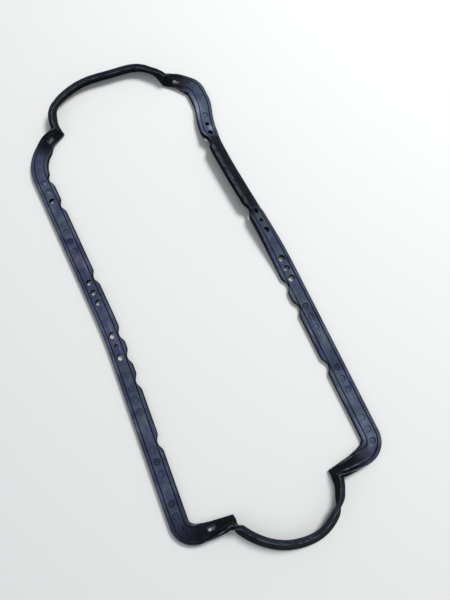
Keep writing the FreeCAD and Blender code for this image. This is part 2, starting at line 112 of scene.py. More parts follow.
# Holes. A rail carries groups of three, each with the place of its middle along the gasket and
# the kinds from the top end down: r and d are recesses with light and deep painted shade on the floor, and
# p, s and b are middling, small and large through holes. The cross-pieces' own stand at a distance from
# their root.
PITCH = 11.4
LEFT_GROUPS = ((176.3, "rrp"), (115.2, "rdr"), (54.9, "ppp"), (-4.2, "bsb"), (-59.5, "rrr"),
               (-118.5, "rdr"), (-168.0, "drr"))
RIGHT_GROUPS = ((180.2, "rsp"), (115.0, "rrr"), (54.8, "psp"), (-1.5, "bpb"), (-55.5, "drr"),
                (-121.5, "drr"), (-172.4, "rrd"))
HOLE_RADIUS = {"r": 3.0, "d": 3.0, "p": 2.7, "s": 1.75, "b": 3.2}
RECESS_DEPTH = 0.7
RECESS_SHADE = {"r": 0.16, "d": 0.7}
SLOT_LENGTH = 7.0
SLOT_WIDTH = 3.6
TOP_LEFT_SLOT = 12.0
TOP_LEFT_RECESS = 22.5
BOTTOM_LEFT_SLOT = 18.5
TOP_RIGHT_SLOT = 13.0
TOP_RIGHT_RECESS = 25.5

# Mesh: distance between sections, and half the length and the cells of the block round one hole
STEP = 1.35
BLOCK = 4.2
BLOCK_CELLS = 8
SLOT_BLOCK = 6.2
SLOT_CELLS = 12

# A hole's rim as shares of its rounding gone in and down, with its painted shade and painted highlight,
# its wall, and a recess's floor as rings in from the wall, above the floor, with their share of the
# recess's painted shade
BLENDS = (0.0, 0.35, 0.7)
RIM_ROUND = 0.3
RIM = ((0.0, 0.0), (0.3, 0.12), (0.7, 0.5), (1.0, 1.0))
RIM_SHADE = 0.3
RIM_HIGHLIGHT = 0.6
RECESS_RIM_HIGHLIGHT = 0.1
UNDER_RIM_HIGHLIGHT = 0.5
WALL_LEVEL = 0.6
WALL_SHADE = 0.8
RECESS_RINGS = ((0.0, 0.2, 1.0), (-0.06, 0.05, 1.0), (-0.25, 0.0, 1.0), (-1.3, 0.0, 0.5), (-2.6, 0.0, 0.9))

# Crease across the right rail where it begins to lie over, and the fold where that ends, each with
# the short stretch in which the dust and painted sheen changes; the crease carries a painted shade line
CREASE_ALONG = 71.5
CREASE_SLANT = 0.35
CREASE_DEPTH = 0.7
CREASE_HALF = 0.8
CREASE_SHADE = 0.9
CREASE_SHADE_HALF = 0.7
CREASE_EDGE = (-0.5, 1.0)
TOP_FOLD_ALONG = 163.0
TOP_FOLD_EDGE = (-1.0, 1.5)

# Film of dust and painted sheen, laid on faces that lie flat so that tilted faces look shaded: its share of
# the whole, and the distances from both ends where it starts and is whole. Its absence near the roots and
# its thinning on the twisted rail are painted shade
BOTTOM_ARCH_DUST_AND_SHEEN = 0.28
TOP_ARCH_DUST_AND_SHEEN = 0.16
PLAIN_CLEAR_ENDS = ((0.0, 18.0), (0.0, 18.0))
LEFT_CLEAR_ENDS = ((15.0, 52.0), (28.0, 90.0))
RIGHT_CLEAR_ENDS = ((18.0, 52.0), (14.0, 44.0))
THINNED_STRETCH = 45.0
THINNED = 0.5
INNER_LAND = (6.3, 6.9)
INNER_LAND_DUST_AND_SHEEN = 0.55
# How much the dust and painted sheen hide the painted edge highlight
EDGE_HIGHLIGHT_STOPPED = 1.3
# Share of the dust and painted sheen taken off arrises, a painted shade line along each edge
ARRIS_PAINTED_SHADE = 0.8

# Painted highlights along the grooves' edges: strength and half width, and the foot lines' way along the
# strip
GROOVE_LIP_HIGHLIGHT = 0.8
RIDGE_HIGHLIGHT = 1.7
RIDGE_HALF = 0.3
FOOT_LINE_HIGHLIGHT = 1.2
FOOT_LINE_HALF = 0.4
FOOT_LINE_WAY = (3.0, 10.0, 38.0, 54.0)

# Finish colours, linear
CLEAN_DARK = (0.003, 0.0035, 0.005)
CLEAN_GREY = (0.007, 0.008, 0.012)
# Dust colours, blue and teal as a painted sheen of the sky on faces that lie flat
DUST_AND_SHEEN_BLUE = (0.066, 0.078, 0.156)
DUST_AND_SHEEN_TEAL = (0.092, 0.122, 0.166)
DUST_AND_SHEEN_VIOLET = (0.094, 0.082, 0.172)
# Painted highlight colour for pale patches where flat faces catch the light
PAINTED_HIGHLIGHT_PALE = (0.25, 0.30, 0.42)
SCUFF_PALE = (0.17, 0.19, 0.255)
# Painted highlight along arrises, groove lips and hole rims
PAINTED_HIGHLIGHT_GREY = (0.135, 0.148, 0.19)
# Painted shade in grooves, holes, recesses and the crease
HOLLOW_PAINTED_SHADE = (0.004, 0.007, 0.032)
TABLE_PALE = (0.78, 0.78, 0.77)
SKY_COOL = (0.92, 0.95, 1.0)
BACKDROP_PALE = (0.93, 0.93, 0.93)


# Plan curves


def ramp(value, start, end):
    """Smooth step 3t^2 - 2t^3, with t the value's share of the way from start to end, held to 0..1."""
    t = np.clip((value - start) / (end - start), 0.0, 1.0)
    return t * t * (3.0 - 2.0 * t)


def rise_and_fall(value, start, whole, fading, gone):
    """Smooth step from 0 at start to 1 at whole, less the one from fading to gone."""
    return ramp(value, start, whole) - ramp(value, fading, gone)


def bell(aside, half):
    """e^-(aside / half)^2."""
    return np.exp(-(aside / half)**2)


def straight(length):
    """Straight leg of a path: its length and its turn."""
    return length, 0.0


def bend(radius, turn):
    """Round leg of a path: its length, radius times turn, and its turn to the left, or right below 0."""
    return radius * radians(abs(turn)), turn


def tangent_path(start, legs):
    """Straights and arcs that meet tangentially, as a function of distance, and their whole length.

    On a leg with curvature k from (x, y) at heading a the point at distance d is
    (x + (sin(a + k d) - sin a) / k, y - (cos(a + k d) - cos a) / k), or straight ahead where k is 0.
    """

    def pose(distance):
        x, y, heading = start
        out = np.zeros((3,) + np.shape(distance))
        passed = 0.0
        for length, turn in legs:
            local = distance - passed
            a = radians(heading)
            if turn:
                k = radians(turn) / length
                px = x + (np.sin(a + k * local) - sin(a)) / k
                py = y - (np.cos(a + k * local) - cos(a)) / k
                x, y = x + (sin(a + k * length) - sin(a)) / k, y - (cos(a + k * length) - cos(a)) / k
            else:
                px, py = x + local * cos(a), y + local * sin(a)
                x, y = x + length * cos(a), y + length * sin(a)
            here = (local >= 0.0) if passed else np.ones(np.shape(distance), bool)
            out = np.where(here, np.array([px, py, heading + turn * local / length]), out)
            heading += turn
            passed += length
        return out

    return pose, sum(leg[0] for leg in legs)


def smooth_curve(points, end_ways=None):
    """Cubic spline through points, as a function of the share of the way, and its length by chords.

    The slopes solve the tridiagonal system that makes the second derivative continuous; the end
    slopes are those of the cubic through the first or last four points, or the given ways.
    """
    points = np.array(points, float)
    knots = np.concatenate([[0.0], np.cumsum(np.linalg.norm(np.diff(points, axis=0), axis=1))])
    count = len(points)
    steps = np.diff(knots)
    system = np.zeros((count, count))
    wanted = np.zeros((count, 2))
    for row in range(1, count - 1):
        a, b = steps[row - 1], steps[row]
        system[row, row - 1:row + 2] = (b, 2 * (a + b), a)
        before, after = points[row] - points[row - 1], points[row + 1] - points[row]
        wanted[row] = 3 * (b / a * before + a / b * after)
    system[0, 0] = system[-1, -1] = 1.0
    if end_ways is None:
        for row, near in ((0, slice(0, 4)), (count - 1, slice(count - 4, count))):
            for axis in (0, 1):
                cubic = np.polyfit(knots[near] - knots[row], points[near, axis], 3)
                wanted[row, axis] = cubic[2]
    else:
        wanted[0], wanted[-1] = end_ways
    slopes = np.linalg.solve(system, wanted)

    def pose(share):
        distance = np.clip(share, 0.0, 1.0) * knots[-1]
        span = np.clip(np.searchsorted(knots, distance, side="right") - 1, 0, count - 2)
        step = steps[span]
        t = ((distance - knots[span]) / step)[..., None]
        p, q = points[span], points[span + 1]
        v, w = slopes[span] * step[..., None], slopes[span + 1] * step[..., None]
        here = (p * (2 * t**3 - 3 * t**2 + 1) + v * (t**3 - 2 * t**2 + t)
                + q * (3 * t**2 - 2 * t**3) + w * (t**3 - t**2))
        way = (p * (6 * t**2 - 6 * t) + v * (3 * t**2 - 4 * t + 1)
               + q * (6 * t - 6 * t**2) + w * (3 * t**2 - 2 * t))
        return np.array([here[..., 0], here[..., 1], np.degrees(np.arctan2(way[..., 1], way[..., 0]))])

    return pose, knots[-1]


# The strip's four runs


class Run:
    """A run of the strip: pose, roll, reach and scale for an array of distances along it.

    pose is plan place and heading, reach how far the inner edge stands past half the width, and
    scale a factor on places across the strip. folds are the headings of the mitres at both ends,
    and blocks the distance and kind of each hole. crease and top_fold are distances that only the
    right side has.
    """

    def __init__(self, length, pose, roll, reach, scale):
        self.length = length
        self.pose = pose
        self.roll = roll
        self.reach = reach
        self.scale = scale
        self.folds = (None, None)
        self.blocks = []
        self.crease = None
        self.top_fold = None
        self.dust_and_sheen_share = 1.0
        self.clear_ends = PLAIN_CLEAR_ENDS
        self.painted_highlights = []

    def dust_and_sheen(self, distance):
        """Share of the dust and painted sheen: smooth steps from nothing near each end to this run's whole.
        """
        (first, grown), (last, fading) = self.clear_ends
        return self.dust_and_sheen_share * ramp(distance, first, grown) * ramp(self.length - distance, last, fading)

    def painted_highlight(self, distance, across):
        """Sum of the painted highlight patches, each a bell e^-(a^2 + b^2) of the distances from its
        middle.
        """
        total = np.zeros(np.shape(distance))
        for middle, aside, long, wide, strength in self.painted_highlights:
            total = total + strength * bell(distance - middle, long) * bell(across - aside, wide)
        return total

    def distance_at(self, along, samples=4000):
        """Distance at which a side run passes a place along the gasket, by interpolation."""
        distance = np.linspace(0.0, self.length, samples)
        y = self.pose(distance)[1]
        if y[-1] < y[0]:
            distance, y = distance[::-1], y[::-1]
        return float(np.interp(along, y, distance))

    def end_point(self, share):
        """Plan place at a share of the run's length."""
        x, y, _ = self.pose(np.array(self.length * share))
        return float(x), float(y)


def rolled_end(share, root_roll, full_reach):
    """Roll, reach and scale of a cross-piece by the share of its way from the flat corner to the root.

    The roll grows as a power of the share, and the lobe and the width shrink by smooth steps.
    """
    to_root = np.clip(share, 0.0, 1.0)
    return (root_roll * to_root**ROLL_POWER, full_reach * (1.0 - ramp(to_root, 0.0, LOBE_GONE)),
            1.0 + (ARCH_SCALE - 1.0) * ramp(to_root, NARROWING, 1.0))


def cross_pieces(length, first, last):
    """Roll, reach and scale by the nearer of a side's two cross-pieces, as a function of distance.

    first and last are (rolled length, roll at the root, full reach) of the cross-pieces.
    """

    def shape(distance):
        first_end = rolled_end(1.0 - distance / first[0], *first[1:])
        last_end = rolled_end(1.0 - (length - distance) / last[0], *last[1:])
        return [np.where(distance < length / 2, one, other) for one, other in zip(first_end, last_end)]

    return shape


def lobes(y, notches, full_reach):
    """Reach of the inner edge: the full lobe, cut by a smooth step down to nothing at each notch."""
    reach = full_reach
    for notch in notches:
        reach = reach * ramp(np.abs(y - notch), NOTCH_FLAT / 2, NOTCH_FLAT / 2 + LOBE_RAMP)
    return reach


def left_side():
    """Left cross-piece, corner, bowed rail, corner and cross-piece, from the top root to the bottom one.

    Straights and arcs in turn; the rail is two straights with a long slight arc between them.
    """
    top_leg = 11.9
    top_radius = 40.0
    top_turn = 70.0
    upper_rail = 161.8
    bow_radius = 570.0
    bow_turn = -4.9
    lower_rail = 159.5
    bottom_turn = 89.3
    bottom_radius = 14.8
    bottom_leg = 31.4
    legs = [straight(top_leg), bend(top_radius, top_turn), straight(upper_rail), bend(bow_radius, bow_turn),
            straight(lower_rail), bend(bottom_radius, bottom_turn), straight(bottom_leg)]
    pose, length = tangent_path(LEFT_START, legs)
    top_rolled = top_leg + top_radius * radians(TOP_LEFT_ROLLED_BEND)
    bottom_rolled = bottom_leg + bottom_radius * radians(BOTTOM_ROLLED_BEND)
    ends = cross_pieces(length, (top_rolled, TOP_LEFT_ROLL, LEFT_REACH),
                        (bottom_rolled, BOTTOM_LEFT_ROLL, LEFT_REACH))

    def reach(distance, y):
        return np.minimum(ends(distance)[1], lobes(y, LEFT_NOTCHES, LEFT_REACH))

    return Run(length, pose, lambda d: ends(d)[0], reach, lambda d: ends(d)[2])


def right_side():
    """Right cross-piece, corner, flat rail, twisted rail, corner and cross-piece, from bottom to top.

    Straights and arcs below and above, and between them a spline that sways inwards. Along the
    spline the roll is minus the lean and minus the fold, each let in and out by smooth steps.
    """
    bottom_leg = 32.7
    bottom_radius = 15.0
    bottom_turn = 86.8
    lower_rail = 169.7
    upper_rail = 11.4
    top_turn = 63.0
    top_radius = 19.0
    top_leg = 21.3
    along_rail = 90.0
    lower_legs = [straight(bottom_leg), bend(bottom_radius, bottom_turn), straight(lower_rail)]
    upper_legs = [straight(upper_rail), bend(top_radius, top_turn), straight(top_leg)]
    lower, lower_length = tangent_path(RIGHT_START, lower_legs)
    start = lower(np.array(lower_length))[:2]
    points = [(start[0] - TWIST_SWAY * aside, start[1] + TWIST_LENGTH * ahead)
              for ahead, aside in TWIST_SHAPE]
    twist, _ = smooth_curve(points, end_ways=((0.0, 1.0), (0.0, 1.0)))
    upper, upper_length = tangent_path((start[0], start[1] + TWIST_LENGTH, along_rail), upper_legs)
    bottom_rolled = bottom_leg + bottom_radius * radians(BOTTOM_ROLLED_BEND)
    top_rolled = top_leg + top_radius * radians(TOP_RIGHT_ROLLED_BEND)
    length = lower_length + TWIST_LENGTH + upper_length
    ends = cross_pieces(length, (bottom_rolled, BOTTOM_RIGHT_ROLL, RIGHT_REACH),
                        (top_rolled, TOP_RIGHT_ROLL, TOP_RIGHT_REACH))

    def pose(distance):
        in_twist = distance - lower_length
        in_upper = in_twist - TWIST_LENGTH
        above = np.where(in_upper < 0.0, twist(in_twist / TWIST_LENGTH), upper(in_upper))
        return np.where(in_twist < 0.0, lower(distance), above)

    def roll(distance):
        share = (distance - lower_length) / TWIST_LENGTH
        lean = LEAN_ROLL * rise_and_fall(share, *LEAN_WAY)
        return ends(distance)[0] - lean - RAIL_FOLD_ROLL * rise_and_fall(share, *RAIL_FOLD_WAY)

    def reach(distance, y):
        widened = ramp((distance - lower_length) / TWIST_LENGTH, *WIDENING_WAY)
        full = RIGHT_REACH + (TOP_RIGHT_REACH - RIGHT_REACH) * widened
        return np.minimum(ends(distance)[1], lobes(y, RIGHT_NOTCHES, full))

    return Run(length, pose, roll, reach, lambda d: ends(d)[2])


def arch(start, end, reach, shape, rolls):
    """Arch between two roots, a spline through places over its chord.

    Its roll eases by smooth steps from one (share of the way, roll) to the next.
    """
    start, chord = np.array(start), np.array(end) - np.array(start)
    out = np.array((chord[1], -chord[0])) / np.linalg.norm(chord)
    points = [start + chord * along + out * reach * beyond for along, beyond in shape]
    curve, length = smooth_curve([start] + points + [start + chord])

    def roll(distance):
        share = distance / length
        turned = np.full(np.shape(share), rolls[0][1])
        for (first, before), (last, after) in zip(rolls, rolls[1:]):
            turned = turned + (after - before) * ramp(share, first, last)
        return turned

    return Run(length, lambda d: curve(d / length), roll,
               lambda d, y: np.zeros(np.shape(d)), lambda d: np.full(np.shape(d), ARCH_SCALE))


def set_folds(runs):
    """Each fold's plane stands square to the mean of the two headings that meet there."""
    for before, after in zip(runs, runs[1:] + runs[:1]):
        first = float(before.pose(np.array(before.length))[2])
        turn = (float(after.pose(np.array(0.0))[2]) - first + 180.0) % 360.0 - 180.0
        before.folds = (before.folds[0], first + turn / 2)
        after.folds = (first + turn / 2, after.folds[1])


def set_holes(left, right):
    """Distance and kind of every hole: the rails' groups of three, and the cross-pieces' own."""
    for run, groups in ((left, LEFT_GROUPS), (right, RIGHT_GROUPS)):
        for middle, kinds in groups:
            for step, kind in enumerate(kinds):
                run.blocks.append((run.distance_at(middle + (1 - step) * PITCH), kind))
    left.blocks += [(TOP_LEFT_SLOT, "slot"), (TOP_LEFT_RECESS, "r"),
                    (left.length - BOTTOM_LEFT_SLOT, "slot")]
    right.blocks += [(right.length - TOP_RIGHT_SLOT, "slot"), (right.length - TOP_RIGHT_RECESS, "r")]


def set_dust_and_painted_light(left, bottom_arch, right, top_arch):
    """Film of dust and painted sheen, crease, and painted highlight patches.

    A patch is (middle along, middle across, half length, half width, strength).
    """
    bottom_arch.dust_and_sheen_share = BOTTOM_ARCH_DUST_AND_SHEEN
    top_arch.dust_and_sheen_share = TOP_ARCH_DUST_AND_SHEEN
    left.clear_ends = LEFT_CLEAR_ENDS
    right.clear_ends = RIGHT_CLEAR_ENDS
    right.crease = right.distance_at(CREASE_ALONG)
    right.top_fold = right.distance_at(TOP_FOLD_ALONG)
    # Painted highlights: pale patches where the faces catch the light
    left.painted_highlights = [(left.distance_at(186.7), HOLE_LINE - 0.8, 1.5, 1.3, 2.2),
                   (left.distance_at(175.3), HOLE_LINE - 0.6, 1.4, 1.2, 2.0)]
    right.painted_highlights = [(72.0, -2.0, 16.0, 6.0, 0.7),
                    (58.0, -8.5, 12.0, 2.5, 1.0),
                    (right.length - 64.0, -9.0, 14.0, 3.0, 3.0),
                    (right.top_fold + 11.0, 1.0, 3.5, 2.3, 2.6),
                    (right.top_fold + 0.5, -8.6, 5.0, 1.5, 4.0),
                    (47.0, -2.0, 9.0, 4.0, 1.4)]


def make_runs():
    """The four runs in the order of the loop, with their folds, holes and wear."""
    left = left_side()
    right = right_side()
    bottom_arch = arch(left.end_point(1.0), right.end_point(0.0), BOTTOM_ARCH_REACH, BOTTOM_ARCH_SHAPE,
                       BOTTOM_ARCH_ROLLS)
    top_arch = arch(right.end_point(1.0), left.end_point(0.0), TOP_ARCH_REACH, TOP_ARCH_SHAPE,
                    TOP_ARCH_ROLLS)
    runs = (left, bottom_arch, right, top_arch)
    set_folds(runs)
    set_holes(left, right)
    set_dust_and_painted_light(*runs)
    return runs


# Places in space


def lift_of(roll, reach, scale):
    """Height of the section's centre at which its lowest corner just touches the table.

    It is the greatest of minus (across sin roll + height cos roll) over the four corners.
    """
    angle = np.radians(roll)
    lows = []
    for across in (-HALF_WIDTH - reach, HALF_WIDTH):
        for height in (-HALF_THICK, HALF_THICK):
            lows.append(-(across * scale * np.sin(angle) + height * np.cos(angle)))
    return np.max(lows, axis=0)


def fold_slip(run, distance, heading, out):
    """Slip along the strip that brings its sections into the plane of a mitred fold at each end.

    It is minus out times the tangent of the heading's angle to the mitre, times a share that
    falls evenly from 1 at the fold to 0 at FOLD_REACH from it.
    """
    slip = np.zeros_like(out)
    for at_end, mitre in zip((0.0, run.length), run.folds):
        share = np.clip(1.0 - np.abs(distance - at_end) / FOLD_REACH, 0.0, 1.0)
        turn = np.radians(heading - mitre)
        slip = slip - share * out * np.sin(turn) / np.cos(turn)
    return slip


def past_crease(run, distance, across):
    """Distance past the crease, which slants across the strip."""
    return distance - run.crease - CREASE_SLANT * across


def place(run, distance, across, height):
    """Space points of section places (across, height) at distances along a run.

    The section is turned by the roll r about the path, to across cos r - height sin r outwards and
    across sin r + height cos r upwards, set down on the table, and slid along the path where a
    fold's mitre cuts it. The crease lowers the upper side by a bell across its line.
    """
    x, y, heading = run.pose(distance)
    roll, reach, scale = run.roll(distance), run.reach(distance, y), run.scale(distance)
    angle = np.radians(roll)
    wide = across * scale
    out = wide * np.cos(angle) - height * np.sin(angle)
    rise = wide * np.sin(angle) + height * np.cos(angle) + lift_of(roll, reach, scale)
    slip = fold_slip(run, distance, heading, out)
    if run.crease is not None:
        upper_side = ramp(height, -HALF_THICK, HALF_THICK)
        rise = rise - CREASE_DEPTH * bell(past_crease(run, distance, across), CREASE_HALF) * upper_side
    turn = np.radians(heading)
    return np.stack([x + out * np.sin(turn) + slip * np.cos(turn) - PLAN_MIDDLE[0],
                     y - out * np.cos(turn) + slip * np.sin(turn) - PLAN_MIDDLE[1], rise], axis=-1)


# The strip's section and its holes


def section():
    """Places round the section: across, share of the reach that moves it inward, height, edge,
    hollow_shade; the edge mark is a painted highlight and the hollow_shade mark a painted shade.

    Over the top from the inner edge to the outer, down, back along the underside and up. Each
    corner is a quarter circle in three points, each groove a rounded dip in seven, and the flats
    between have a few places more.
    """
    corner = [(1 - cos(a), sin(a)) for a in np.radians((0.0, 45.0, 90.0))]
    shoulder = 0.14
    half_groove = [(0.0, 1.0), (0.45, 0.72), (0.8, shoulder), (1.0, 0.0)]
    groove = [(-aside, deep) for aside, deep in half_groove[:0:-1]] + half_groove
    block = np.linspace(-BLOCK, BLOCK, BLOCK_CELLS + 1)
    start = -HALF_WIDTH + EDGE_ROUND
    rows = []
    # Corners carry the edge mark, a painted highlight along each arris, and groove shoulders a weaker one
    for over, up in corner:
        rows.append((-HALF_WIDTH + EDGE_ROUND * over, 1.0, HALF_THICK - EDGE_ROUND * (1 - up), 1.0, 0.0))
    for share in (0.35, 0.7):
        across = start + (INNER_GROOVE - GROOVE_HALF - start) * share
        rows.append((across, 1.0 - share, HALF_THICK, 0.0, 0.0))
    for centre in (INNER_GROOVE, OUTER_GROOVE):
        for aside, deep in groove:
            rows.append((centre + GROOVE_HALF * aside, 0.0, HALF_THICK - GROOVE_DEPTH * deep,
                         GROOVE_LIP_HIGHLIGHT if deep == shoulder else 0.0, deep))
        if centre == INNER_GROOVE:
            rows += [(HOLE_LINE + aside, 0.0, HALF_THICK, 0.0, 0.0) for aside in block]
    rows += [(across, 0.0, HALF_THICK, 0.0, 0.0) for across in (5.2, 6.2)]
    for over, up in corner[::-1]:
        rows.append((HALF_WIDTH - EDGE_ROUND * over, 0.0, HALF_THICK - EDGE_ROUND * (1 - up), 1.0, 0.0))
    rows += [(HALF_WIDTH, 0.0, height, 0.0, 0.0) for height in (1.5, 0.5, -0.5, -1.5)]
    for over, up in corner:
        rows.append((HALF_WIDTH - EDGE_ROUND * over, 0.0, -HALF_THICK + EDGE_ROUND * (1 - up), 1.0, 0.0))
    rows += [(across, 0.0, -HALF_THICK, 0.0, 0.0) for across in (6.0, 4.4)]
    rows += [(HOLE_LINE + aside, 0.0, -HALF_THICK, 0.0, 0.0) for aside in block[::-1]]
    for across, share in ((-6.2, 0.0), (-6.5, 0.3), (-6.8, 0.65)):
        rows.append((across, share, -HALF_THICK, 0.0, 0.0))
    for over, up in corner[::-1]:
        rows.append((-HALF_WIDTH + EDGE_ROUND * over, 1.0, -HALF_THICK + EDGE_ROUND * (1 - up), 1.0, 0.0))
    rows += [(-HALF_WIDTH, 1.0, height, 0.0, 0.0) for height in (-1.5, -0.5, 0.5, 1.5)]
    return np.array(rows)


SECTION = section()


def section_place(across, height):
    """Number of the section's place nearest to across, on the face at that height."""
    elsewhere = SECTION[:, 2] != height
    return int(np.argmin(np.abs(SECTION[:, 0] - across) + 2 * HALF_WIDTH * elsewhere))


TOP_BLOCK = section_place(HOLE_LINE - BLOCK, HALF_THICK)
UNDER_BLOCK = section_place(HOLE_LINE + BLOCK, -HALF_THICK)


def block_size(kind):
    """Half length of a hole's block along the strip, and the number of its cells."""
    return (SLOT_BLOCK, SLOT_CELLS) if kind == "slot" else (BLOCK, BLOCK_CELLS)


def stations(run):
    """Distances of the sections along a run: even steps between holes, and a block's cells at each hole."""
    spans = []
    done = 0.0
    for centre, kind in sorted(run.blocks):
        half, cells = block_size(kind)
        spans.append((done, centre - half, max(1, int(np.ceil((centre - half - done) / STEP)))))
        spans.append((centre - half, centre + half, cells))
        done = centre + half
    spans.append((done, run.length, max(1, int(np.ceil((run.length - done) / STEP)))))
    rows = [np.linspace(start, end, count, endpoint=False) for start, end, count in spans]
    return np.concatenate(rows + [[run.length]])


def hole_outline(kind, count):
    """Points round a hole, starting on the side ahead.

    A circle, or for a slot two half circles and two straights: there the place along the slot of the
    circle's centre and the angle about it each run straight from one corner of the outline to the next.
    """
    share = np.arange(count) / count
    if kind != "slot":
        angle = 2 * pi * share
        return HOLE_RADIUS[kind] * np.stack([np.cos(angle), np.sin(angle)], axis=-1)
    side, radius = SLOT_LENGTH - SLOT_WIDTH, SLOT_WIDTH / 2
    half_circle = pi * radius
    corners = np.cumsum([0.0, half_circle / 2, side, half_circle, side, half_circle / 2])
    centres = np.array([1.0, 1.0, -1.0, -1.0, 1.0, 1.0]) * side / 2
    angles = np.array([0.0, 0.5, 0.5, 1.5, 1.5, 2.0]) * pi
    distance = share * corners[-1]
    angle = np.interp(distance, corners, angles)
    along = np.interp(distance, corners, centres)
    return np.stack([along + radius * np.cos(angle), radius * np.sin(angle)], axis=-1)


def block_outline(kind):
    """Mesh points round a hole's block, starting in the middle of the side ahead, anticlockwise."""
    half, cells = block_size(kind)
    quarter = BLOCK_CELLS // 2
    up = np.linspace(-BLOCK, BLOCK, BLOCK_CELLS + 1)
    over = np.linspace(-half, half, cells + 1)
    sides = [np.stack([np.full(quarter, half), up[quarter:-1]], axis=-1),
             np.stack([over[:0:-1], np.full(cells, BLOCK)], axis=-1),
             np.stack([np.full(BLOCK_CELLS, -half), up[:0:-1]], axis=-1),
             np.stack([over[:-1], np.full(cells, -BLOCK)], axis=-1),
             np.stack([np.full(quarter, half), up[:quarter]], axis=-1)]
    return np.concatenate(sides)


def hole_rings(kind):
    """Rings from the block's edge to the hole and down it.

    Each is (blend, widening, height, edge, hollow_shade): how far it has gone from the block's outline
    to the hole's, how much wider than the hole it is, its level and its marks: a painted highlight on the
    rim and painted shade down the rim, the wall and the recess floor.
    """
    recess = kind in RECESS_SHADE
    rings = [(share, RIM_ROUND, HALF_THICK, 0.0, 0.0) for share in BLENDS]
    for gone, deep in RIM:
        rings.append((1.0, RIM_ROUND * (1.0 - gone), HALF_THICK - RIM_ROUND * deep,
                      RECESS_RIM_HIGHLIGHT if recess else RIM_HIGHLIGHT, RIM_SHADE * deep))
    if recess:
        floor, shade = HALF_THICK - RECESS_DEPTH, RECESS_SHADE[kind]
        rings += [(1.0, wide, floor + above, 0.0, shade * share) for wide, above, share in RECESS_RINGS]
    else:
        rings += [(1.0, 0.0, level, 0.0, WALL_SHADE) for level in (WALL_LEVEL, -WALL_LEVEL)]
        for gone, deep in RIM[::-1]:
            rings.append((1.0, RIM_ROUND * (1.0 - gone), -HALF_THICK + RIM_ROUND * deep,
                          UNDER_RIM_HIGHLIGHT, RIM_SHADE * deep))
        rings += [(share, RIM_ROUND, -HALF_THICK, 0.0, 0.0) for share in BLENDS[::-1]]
    return rings


def finish_marks(run, distance, across, edge, hollow_shade):
    """Marks for the finish: dust and painted sheen, painted highlight patches, painted edge highlight and
    painted hollow shade.

    On the right side the dust and painted sheen thins towards the crease, and from there to the top fold it
    stays only on the inner land, beside a painted highlight line along the inner groove. Both grooves of
    the lower cross-piece have such painted highlight lines, and the crease gets a painted shade line; each
    line is a bell across its middle. Every arris loses most of its dust and painted sheen, a painted shade
    line, and carries a painted highlight where the sheen is thin.
    """
    dust_and_sheen = run.dust_and_sheen(distance)
    painted_highlight = dust_and_sheen * run.painted_highlight(distance, across)
    if run.crease is not None:
        below = ramp(past_crease(run, distance, across), *CREASE_EDGE)
        above = ramp(distance - run.top_fold, *TOP_FOLD_EDGE)
        inner_land = ramp(-across, *INNER_LAND)
        thinned = ramp(distance, run.crease - THINNED_STRETCH, run.crease) * (1.0 - above)
        dust_and_sheen = dust_and_sheen * (1.0 - (below - above) * (1.0 - INNER_LAND_DUST_AND_SHEEN * inner_land))
        dust_and_sheen = dust_and_sheen * (1.0 - THINNED * thinned)
        # Painted highlight lines: a ridge beside the inner groove, and foot lines on the lower cross-piece
        ridge = RIDGE_HIGHLIGHT * bell(across - INNER_GROOVE + GROOVE_HALF, RIDGE_HALF) * (below - above)
        foot_lines = (bell(across - INNER_GROOVE - GROOVE_HALF, FOOT_LINE_HALF)
                      + bell(across - OUTER_GROOVE + GROOVE_HALF, FOOT_LINE_HALF))
        foot_lines = FOOT_LINE_HIGHLIGHT * foot_lines * rise_and_fall(distance, *FOOT_LINE_WAY)
        edge = np.maximum(edge, np.maximum(ridge, foot_lines))
        # Painted shade line along the crease
        crease_shade_line = bell(past_crease(run, distance, across), CREASE_SHADE_HALF)
        hollow_shade = np.maximum(hollow_shade, CREASE_SHADE * crease_shade_line)
    # Painted edge highlight, kept where the dust and painted sheen is thin
    edge_highlight = edge * (1.0 - np.clip(EDGE_HIGHLIGHT_STOPPED * dust_and_sheen, 0.0, 1.0))
    arris = np.clip(edge, 0.0, 1.0)
    # Arrises lose most of the dust and painted sheen, a painted shade line
    dust_and_sheen = dust_and_sheen * (1.0 - ARRIS_PAINTED_SHADE * arris)
    return np.stack([dust_and_sheen, painted_highlight * (1.0 - arris), edge_highlight, hollow_shade], axis=-1)


# The strip's mesh


def ring_quads(first, count, rings):
    """Quads between closed rings of count points that follow each other in the vertex list."""
    ring, point = np.meshgrid(np.arange(rings - 1), np.arange(count), indexing="ij")
    a = first + ring * count + point
    b = first + ring * count + (point + 1) % count
    return np.stack([a, b, b + count, a + count], axis=-1).reshape(-1, 4)


def strip_grid(run, first):
    """Points, marks and quads of a run: stations along it by places round the section.

    The cells of a hole's block are left out, on the top and for a through hole underneath too.
    """
    distance = stations(run)
    reach = run.reach(distance, run.pose(distance)[1])
    across = SECTION[None, :, 0] - SECTION[None, :, 1] * reach[:, None]
    rows, columns = across.shape
    along = np.repeat(distance[:, None], columns, axis=1)
    height, edge, hollow_shade = [np.repeat(SECTION[None, :, column], rows, axis=0) for column in (2, 3, 4)]
    points = place(run, along, across, height).reshape(-1, 3)
    marks = finish_marks(run, along, across, edge, hollow_shade).reshape(-1, 4)
    quads = ring_quads(first, columns, rows).reshape(rows - 1, columns, 4)
    keep = np.ones((rows - 1, columns), bool)
    middle = (distance[1:] + distance[:-1]) / 2
    for centre, kind in run.blocks:
        inside = np.abs(middle - centre) < block_size(kind)[0]
        keep[np.ix_(inside, range(TOP_BLOCK, TOP_BLOCK + BLOCK_CELLS))] = False
        if kind not in RECESS_SHADE:
            keep[np.ix_(inside, range(UNDER_BLOCK, UNDER_BLOCK + BLOCK_CELLS))] = False
    return points, marks, quads[keep]


